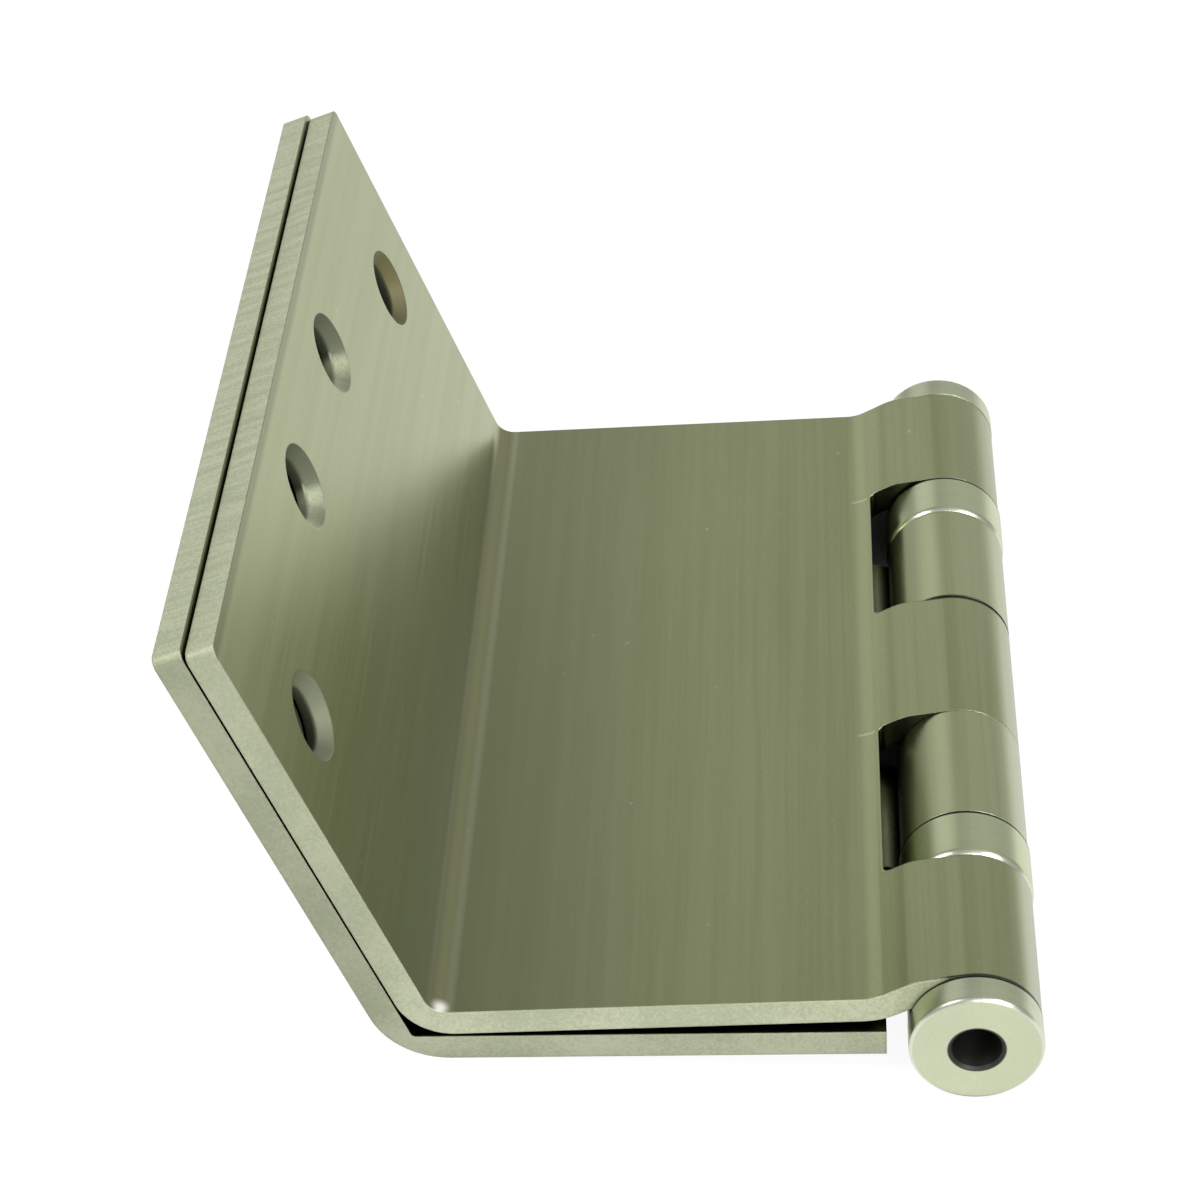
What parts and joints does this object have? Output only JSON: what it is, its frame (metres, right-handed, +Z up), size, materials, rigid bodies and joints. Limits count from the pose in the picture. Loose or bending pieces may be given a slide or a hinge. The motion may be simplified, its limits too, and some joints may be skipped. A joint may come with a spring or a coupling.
{
  "type": "swing clear hinge",
  "caption": "Full mortise swing clear hinge: two L-shaped leaves on a ball-bearing barrel, shown closed, with countersunk screw holes in both flanges.",
  "frame": {"origin": "under the middle of the closed hinge, on the surface that it lies on", "axes": "+Y along the pin towards its head, +X from the flanges towards the barrel, +Z up"},
  "size_m": [0.094, 0.1218, 0.0558],
  "materials": {
    "leaf_steel": "satin brushed along the pin, with a faint green-grey tone",
    "pin_steel": "satin turned",
    "shell_steel": "satin drawn",
    "race_steel": "ground",
    "cage_brass": "stamped",
    "ball_steel": "polished"
  },
  "bodies": {
    "outer_leaf": {"outer_leaf": "leaf_steel", "head_end_bearing_shell": "shell_steel", "head_end_cup_race": "race_steel", "tip_end_cone_race": "race_steel"},
    "inner_leaf": {"inner_leaf": "leaf_steel", "hinge_pin": "pin_steel", "pin_plug": "pin_steel", "head_end_cone_race": "race_steel", "tip_end_bearing_shell": "shell_steel", "tip_end_cup_race": "race_steel"},
    "head_end_ball_set": {"head_end_ball_cage": "cage_brass", "head_end_ball_01": "ball_steel", "head_end_ball_02": "ball_steel", "head_end_ball_03": "ball_steel", "head_end_ball_04": "ball_steel", "head_end_ball_05": "ball_steel", "head_end_ball_06": "ball_steel", "head_end_ball_07": "ball_steel", "head_end_ball_08": "ball_steel", "head_end_ball_09": "ball_steel", "head_end_ball_10": "ball_steel", "head_end_ball_11": "ball_steel", "head_end_ball_12": "ball_steel"},
    "tip_end_ball_set": {"tip_end_ball_cage": "cage_brass", "tip_end_ball_01": "ball_steel", "tip_end_ball_02": "ball_steel", "tip_end_ball_03": "ball_steel", "tip_end_ball_04": "ball_steel", "tip_end_ball_05": "ball_steel", "tip_end_ball_06": "ball_steel", "tip_end_ball_07": "ball_steel", "tip_end_ball_08": "ball_steel", "tip_end_ball_09": "ball_steel", "tip_end_ball_10": "ball_steel", "tip_end_ball_11": "ball_steel", "tip_end_ball_12": "ball_steel"}
  },
  "joints": [
    {"name": "leaf_swing", "type": "hinge", "parent": "outer_leaf", "child": "inner_leaf", "pos_m": [0.03947, 0, 0.0075], "axis": [0, 1, 0], "range_deg": [0, 300]},
    {"name": "head_end_ball_orbit", "type": "hinge", "parent": "outer_leaf", "child": "head_end_ball_set", "pos_m": [0.03947, 0.0335, 0.0075], "axis": [0, 1, 0], "range_deg": [0, 150]},
    {"name": "tip_end_ball_orbit", "type": "hinge", "parent": "outer_leaf", "child": "tip_end_ball_set", "pos_m": [0.03947, -0.0335, 0.0075], "axis": [0, 1, 0], "range_deg": [0, 150]}
  ],
  "couplings": [
    {"joint": "head_end_ball_orbit", "follows": "leaf_swing", "ratio": 0.5},
    {"joint": "tip_end_ball_orbit", "follows": "leaf_swing", "ratio": 0.5}
  ]
}
